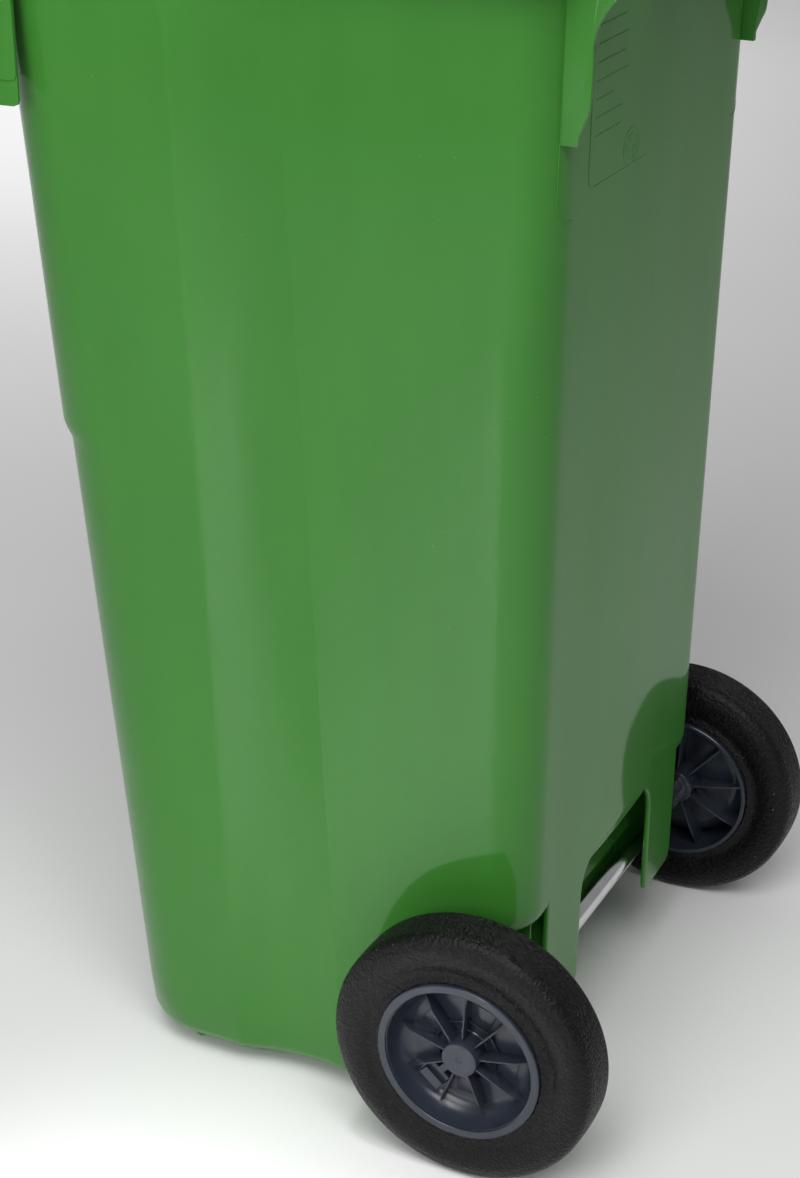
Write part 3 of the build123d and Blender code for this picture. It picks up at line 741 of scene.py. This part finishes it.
def radial_plate(side, angle, outline, thickness, offset=0.0, edge=0.0004):
    """A plate through a wheel's axis: the outline is (along the axle, radius), offset is sideways."""
    low, high = offset - thickness / 2, offset + thickness / 2
    plate = prism("plate", [(along, radius) for along, radius in outline], low, high, "Z")
    # the prism's X is along the axle, its Y is radial and its Z is sideways
    turned = Matrix(((side, 0, 0, side * WHEEL_X),
                     (0, cos(radians(angle)), -sin(radians(angle)), AXLE_Y),
                     (0, sin(radians(angle)), cos(radians(angle)), AXLE_Z),
                     (0, 0, 0, 1)))
    plate = bevel(plate, edge)
    plate.data.transform(turned)
    if side < 0:
        plate.data.flip_normals()
    return plate


def oblong(along, radius):
    """An outline between two places along the axle and two radii."""
    return [(along[0], radius[0]), (along[1], radius[0]), (along[1], radius[1]), (along[0], radius[1])]


def build_rim(side, name):
    dish = [(0.0206 - 0.0191 * sin(a), 0.0420 + 0.0133 * cos(a)) for a in np.linspace(0, pi / 2, 14)]
    back = [(0.0160 - 0.0175 * sin(a), 0.0435 + 0.0135 * cos(a)) for a in np.linspace(0.25, pi / 2, 9)]
    profile = [(RIM_INNER + RIM_EDGE, RIM_RADIUS), (RIM_OUTER - RIM_EDGE, RIM_RADIUS),
               (RIM_OUTER, RIM_RADIUS - RIM_EDGE),
               (RIM_OUTER, 0.0567), (RIM_OUTER - 0.0003, 0.0563), (0.0205, 0.0562), (0.0204, 0.0557),
               (0.0210, 0.0554), *dish, (0.0015, 0.0145), (0.0021, 0.0137), (0.0180, 0.0134),
               (0.0188, 0.0130), (0.0191, 0.0123), (0.0190, 0.0080), (0.0188, 0.0074), (0.0188, 0.0024),
               (0.0183, 0.0019), (0.0181, 0.0), (0.0140, 0.0), (0.0140, 0.01055), (-0.0220, 0.01055),
               (-0.0226, 0.0112), (-0.0226, 0.0138), (-0.0220, 0.0145), (-0.0015, 0.0150),
               (-0.0015, 0.0430), *reversed(back), (0.0165, 0.0590), (RIM_INNER + RIM_EDGE, 0.0590),
               (RIM_INNER, 0.0596), (RIM_INNER, 0.0617)]
    pieces = [lathe("rim_turned", profile, side, 160, 30)]
    for spoke in range(SPOKES):
        angle = LATCH_ANGLE + (spoke + 0.5) * 360 / SPOKES
        outer = [(WEB_X, 0.0128), (0.0152, 0.0128), (0.0128, 0.0405), (0.0108, 0.0445), (0.0070, 0.0535),
                 (WEB_X, 0.0435)]
        pieces.append(radial_plate(side, angle, outer, OUTER_SPOKE_THICK))
        inner = [(-WEB_X, 0.0140), (-0.0185, 0.0140), (-0.0150, 0.0480), (-0.0120, 0.0595), (0.0100, 0.0595),
                 (0.0040, 0.0530), (-WEB_X, 0.0440)]
        pieces.append(radial_plate(side, angle, inner, INNER_SPOKE_THICK))
    # a many-sided wall stands round the hub, between the spokes, and low steps lie on the web
    for gap in range(1, SPOKES):
        middle = LATCH_ANGLE + gap * 360 / SPOKES
        across = HUB_WALL_MIDDLE * tan(pi / SPOKES)
        pieces.append(radial_plate(side, middle, oblong(HUB_WALL_X, HUB_WALL_R), 2 * across, 0.0, 0.0003))
        if gap % 2:
            pieces.append(radial_plate(side, middle, oblong((WEB_X, STEP_X), STEP_R), STEP_WIDTH))
    # the latch's channel
    for offset in (CHEEK_OFFSET, -CHEEK_OFFSET):
        cheek = [(WEB_X, 0.0300), (0.0095, 0.0300), (0.0095, 0.0420), (0.0080, 0.0470), (WEB_X, 0.0430)]
        pieces.append(radial_plate(side, LATCH_ANGLE, cheek, CHEEK_THICK, offset))
    return join(f"rim_moulding_{name}", pieces)


def build_tyre(side, name):
    """Solid rubber: a ribbed tread, rounded shoulders, bulging walls and a hollow ring beside the rim."""
    tread = []
    for k in range(-GROOVES, GROOVES + 1):
        middle = k * GROOVE_PITCH
        tread += [(middle - GROOVE_TOP, 0.0), (middle - GROOVE_FOOT, GROOVE_DEPTH),
                  (middle + GROOVE_FOOT, GROOVE_DEPTH), (middle + GROOVE_TOP, 0.0)]
    crown = [(along, TYRE_RADIUS - depth - TREAD_DROP * (along / TREAD_HALF) ** 2) for along, depth in tread]
    wall = smooth_line([(TREAD_HALF, 0.0992), (0.0168, 0.0981), (0.0186, 0.0962), (0.0197, 0.0940),
                        (0.0203, 0.0922), (0.0211, 0.0900), (0.0216, 0.0862), (0.0213, 0.0815),
                        (0.0202, 0.0768), (0.0188, 0.0735), (0.0180, 0.0708), (0.0181, 0.0682),
                        (0.0189, 0.0660), (0.0196, 0.0640), (0.0196, 0.0628), (0.0190, RIM_RADIUS)], 3)
    profile = [*crown, *wall, *[(-along, radius) for along, radius in reversed(wall)]]
    return lathe(f"tyre_rubber_{name}", profile, side, 192, 35)


# ======================================== materials
class Skin:
    """A procedural material being made: its nodes, and its textures in the piece's own coordinates."""

    def __init__(self, name):
        self.made = bpy.data.materials.new(name)
        self.made.use_nodes = True
        self.nodes, self.links = self.made.node_tree.nodes, self.made.node_tree.links
        self.shader = self.nodes["Principled BSDF"]
        self.place = self.nodes.new("ShaderNodeTexCoord").outputs["Object"]

    def texture(self, kind, stretch, values):
        node, mapping = self.nodes.new(kind), self.nodes.new("ShaderNodeMapping")
        mapping.inputs["Scale"].default_value = stretch
        self.links.new(self.place, mapping.inputs["Vector"])
        self.links.new(mapping.outputs["Vector"], node.inputs["Vector"])
        return set_inputs(node, **values)

    def noise(self, stretch=(1, 1, 1), **values):
        return self.texture("ShaderNodeTexNoise", stretch, values).outputs["Fac"]

    def cells(self, **values):
        return self.texture("ShaderNodeTexVoronoi", (1, 1, 1), values).outputs

    def ramp(self, source, *stops):
        """A colour or a grey that follows source between (position, value) stops."""
        node = self.nodes.new("ShaderNodeValToRGB")
        for element, (position, value) in zip(node.color_ramp.elements, stops):
            element.position = position
            element.color = (*value, 1) if isinstance(value, tuple) else (value, value, value, 1)
        self.links.new(source, node.inputs["Fac"])
        return node.outputs["Color"]

    def mix(self, factor, first, second, mode="MIX"):
        node = self.nodes.new("ShaderNodeMix")
        node.data_type, node.blend_type = "RGBA", mode
        for name, value in (("Factor", factor), ("A", first), ("B", second)):
            socket = next(s for s in node.inputs if s.name == name and s.enabled)
            if isinstance(value, float):
                socket.default_value = value
            elif isinstance(value, tuple):
                socket.default_value = (*value, 1)
            else:
                self.links.new(value, socket)
        return next(s for s in node.outputs if s.enabled)

    def bump(self, height, strength, distance, below=None):
        node = set_inputs(self.nodes.new("ShaderNodeBump"), Strength=strength, Distance=distance)
        self.links.new(height, node.inputs["Height"])
        if below is not None:
            self.links.new(below, node.inputs["Normal"])
        return node.outputs["Normal"]

    def feed(self, source, *sockets):
        for socket in sockets:
            self.links.new(source, self.shader.inputs[socket])


def set_inputs(node, **values):
    for name, value in values.items():
        node.inputs[name.replace("_", " ")].default_value = value
    return node


def green_plastic(name, deep, light, rough):
    """Glossy moulded polyethylene: faint flow marks, an uneven skin, hairline scratches and dust specks."""
    skin = Skin(name)
    flow = skin.noise((5, 5, 1.1), Scale=1.6, Detail=4.0, Roughness=0.55)
    colour = skin.ramp(flow, (0.30, deep), (0.72, light))
    dot = skin.ramp(skin.cells(Scale=170.0)["Distance"], (0.03, 1.0), (0.09, 0.0))
    few = skin.ramp(skin.noise(Scale=23.0, Detail=2.0), (0.60, 0.0), (0.66, 1.0))
    dust = skin.mix(1.0, dot, few, "MULTIPLY")
    pale = tuple(min(c * 1.5 + 0.05, 1) for c in light)
    skin.feed(skin.mix(dust, colour, pale), "Base Color")
    scratches = skin.noise((260, 260, 6), Scale=1.0, Detail=2.0)
    matt = skin.ramp(skin.noise(Scale=7.0, Detail=3.0), (0.35, rough), (0.75, rough + 0.06))
    fine = skin.ramp(scratches, (0.62, 0.0), (0.80, 0.06))
    skin.feed(skin.mix(1.0, matt, fine, "ADD"), "Roughness")
    normal = skin.bump(skin.noise(Scale=210.0, Detail=3.0, Roughness=0.5), 0.05, 0.0004)
    normal = skin.bump(scratches, 0.015, 0.0003, normal)
    normal = skin.bump(skin.noise((1, 1, 0.35), Scale=26.0, Detail=2.0), 0.06, 0.0010, normal)
    skin.feed(normal, "Normal", "Coat Normal")
    set_inputs(skin.shader, IOR=1.18, Coat_Weight=0.60, Coat_Roughness=0.06, Coat_IOR=1.46)
    return skin.made


def slate_plastic(name, colour, rough):
    """Satin moulded polypropylene of the wheels: fine grain, light dust in patches."""
    skin = Skin(name)
    patches = skin.noise(Scale=45.0, Detail=4.0)
    lighter = tuple(c * 1.25 for c in colour)
    skin.feed(skin.ramp(patches, (0.3, colour), (0.8, lighter)), "Base Color")
    skin.feed(skin.ramp(patches, (0.3, rough), (0.75, rough + 0.10)), "Roughness")
    normal = skin.bump(skin.noise(Scale=900.0, Detail=3.0), 0.10, 0.0003)
    skin.feed(skin.bump(skin.noise(Scale=90.0, Detail=2.0), 0.08, 0.0008, normal), "Normal")
    return skin.made


def tyre_rubber(name):
    """Black solid rubber with a pebbled, sparkling skin and a few pale dust specks."""
    skin = Skin(name)
    crumbs = skin.noise(Scale=260.0, Detail=5.0, Roughness=0.65)
    patches = skin.noise(Scale=30.0, Detail=4.0)
    colour = skin.ramp(patches, (0.3, (0.0012, 0.0012, 0.0013)), (0.8, (0.004, 0.004, 0.004)))
    dust = skin.cells(Scale=240.0)
    dot = skin.ramp(dust["Distance"], (0.08, 1.0), (0.16, 0.0))
    few = skin.ramp(dust["Color"], (0.80, 0.0), (0.90, 1.0))
    speck = skin.mix(1.0, dot, few, "MULTIPLY")
    skin.feed(skin.mix(speck, colour, (0.20, 0.19, 0.17)), "Base Color")
    skin.feed(skin.ramp(crumbs, (0.35, 0.20), (0.70, 0.36)), "Roughness")
    skin.shader.inputs["IOR"].default_value = 1.30
    normal = skin.bump(skin.cells(Scale=430.0)["Distance"], 0.70, 0.0008)
    skin.feed(skin.bump(crumbs, 0.80, 0.0012, normal), "Normal")
    return skin.made


def bright_steel(name):
    """Zinc-plated bar: bright, with drawn lines along it and cloudy plating."""
    skin = Skin(name)
    cloud = skin.noise(Scale=38.0, Detail=5.0)
    skin.feed(skin.ramp(cloud, (0.3, (0.66, 0.67, 0.68)), (0.8, (0.86, 0.87, 0.88))), "Base Color")
    skin.feed(skin.ramp(cloud, (0.3, 0.10), (0.75, 0.22)), "Roughness")
    skin.shader.inputs["Metallic"].default_value = 1.0
    skin.feed(skin.bump(skin.noise((4, 900, 900), Scale=1.0, Detail=3.0), 0.12, 0.0003), "Normal")
    return skin.made


def buffer_rubber(name):
    """Matt black rubber with a fine grain."""
    skin = Skin(name)
    grain = skin.noise(Scale=700.0, Detail=3.0)
    skin.feed(skin.ramp(grain, (0.3, (0.012, 0.012, 0.012)), (0.8, (0.03, 0.03, 0.03))), "Base Color")
    skin.shader.inputs["Roughness"].default_value = 0.6
    skin.feed(skin.bump(grain, 0.3, 0.0004), "Normal")
    return skin.made


def pale_floor(name):
    skin = Skin(name)
    cloud = skin.noise(Scale=1.5, Detail=3.0)
    skin.feed(skin.ramp(cloud, (0.3, (0.86, 0.86, 0.86)), (0.8, (0.90, 0.90, 0.90))), "Base Color")
    skin.shader.inputs["Roughness"].default_value = 0.75
    return skin.made


def dress(obj, made):
    obj.data.materials.clear()
    obj.data.materials.append(made)


# ======================================== the whole bin
GREEN_DEEP, GREEN_LIGHT = (0.031, 0.156, 0.019), (0.041, 0.190, 0.025)
green = green_plastic("body_plastic", GREEN_DEEP, GREEN_LIGHT, 0.40)
lid_green = green_plastic("lid_plastic", GREEN_DEEP, GREEN_LIGHT, 0.42)
slate = slate_plastic("rim_plastic", (0.021, 0.026, 0.038), 0.17)
dark = slate_plastic("dark_plastic", (0.045, 0.050, 0.060), 0.40)
rubber = tyre_rubber("tyre_rubber")
steel = bright_steel("axle_steel")
black = buffer_rubber("buffer_rubber")

body = join("body_moulding", [build_tub(), *build_holders(), *build_collar(), *build_handles(),
                              *build_rear_details(), *build_feet()])
dress(body, green)
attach(body, "tub")
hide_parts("body")

lid = build_lid()
dress(lid, lid_green)
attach(lid, "cover")
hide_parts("lid")

for side, name in ((1, "right"), (-1, "left")):
    rim = build_rim(side, name)
    dress(rim, slate)
    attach(rim, f"wheel_{name}")
    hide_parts(f"rim_{name}")
    tyre = build_tyre(side, name)
    dress(tyre, rubber)
    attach(tyre, f"wheel_{name}")
    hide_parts(f"tyre_{name}")

for node, obj in frame["nodes"].items():
    for start, made in (("axle", steel), ("hinge_pin", dark), ("lid_buffer", black), ("hub_latch", slate)):
        if node.startswith(start):
            dress(obj, made)


# ======================================== studio
FLOOR_HALF = 6.0


def add_floor():
    corners = [(x * FLOOR_HALF, y * FLOOR_HALF, 0) for x, y in ((-1, -1), (1, -1), (1, 1), (-1, 1))]
    mesh = bpy.data.meshes.new("floor")
    mesh.from_pydata(corners, [], [(0, 1, 2, 3)])
    floor = bpy.data.objects.new("floor", mesh)
    bpy.context.scene.collection.objects.link(floor)
    dress(floor, pale_floor("floor"))


def add_light(name, place, target, size, power, spread):
    """A softbox at place, facing target, with a grid that keeps its light within an angle in degrees."""
    data = bpy.data.lights.new(name, "AREA")
    data.shape = "RECTANGLE"
    data.size, data.size_y = size
    data.energy, data.spread = power, radians(spread)
    light = bpy.data.objects.new(name, data)
    light.visible_camera = False
    light.location = place
    light.rotation_euler = (Vector(target) - Vector(place)).to_track_quat("-Z", "Y").to_euler()
    bpy.context.scene.collection.objects.link(light)


def add_world(brightness):
    world = bpy.data.worlds.new("studio")
    world.use_nodes = True
    sky = world.node_tree.nodes["Background"]
    sky.inputs["Color"].default_value = (1.0, 1.0, 1.0, 1)
    sky.inputs["Strength"].default_value = brightness
    bpy.context.scene.world = world


def add_camera():
    """The view from behind the bin's right wheel, a little above its rim."""
    azimuth, elevation, roll = radians(116.1), radians(25.4), radians(-0.1)
    back = Vector((sin(azimuth) * cos(elevation), -cos(azimuth) * cos(elevation), sin(elevation)))
    right = Vector((cos(azimuth), sin(azimuth), 0))
    up = back.cross(right)
    turned_right = right * cos(roll) + up * sin(roll)
    turned_up = back.cross(turned_right)
    data = bpy.data.cameras.new("camera")
    data.sensor_width = 36.0
    data.lens = 73.26
    data.shift_x, data.shift_y = -0.0205, 0.0067
    camera = bpy.data.objects.new("camera", data)
    camera.matrix_world = Matrix((
        (turned_right.x, turned_up.x, back.x, 1.4781),
        (turned_right.y, turned_up.y, back.y, 0.7136),
        (turned_right.z, turned_up.z, back.z, 1.1118),
        (0, 0, 0, 1)))
    bpy.context.scene.collection.objects.link(camera)
    bpy.context.scene.camera = camera


add_floor()
add_light("side", (2.255, 0.0, 1.271), (0.0, 0.0, 0.4), (1.2, 1.2), 18.5, 170)
add_light("upper_side", (1.377, 0.0, 2.416), (0.0, 0.0, 0.4), (1.2, 1.2), 11.3, 170)
add_light("key", (1.248, 0.582, 2.416), (0.0, 0.0, 0.4), (1.2, 1.2), 17.5, 170)
add_light("glint", (1.091, 1.300, 2.147), (0.0, 0.0, 0.4), (0.8, 0.8), 7.0, 170)
add_light("floor_stripe", (1.00, 0.0, 1.6), (1.00, 0.0, 0.0), (1.25, 0.10), 1.6, 22)
add_light("backdrop", (-2.3, -2.3, 2.6), (-2.6, -2.3, 0.0), (2.5, 2.5), 22, 90)
add_world(0.275)
add_camera()

bpy.context.scene.view_settings.view_transform = "Standard"
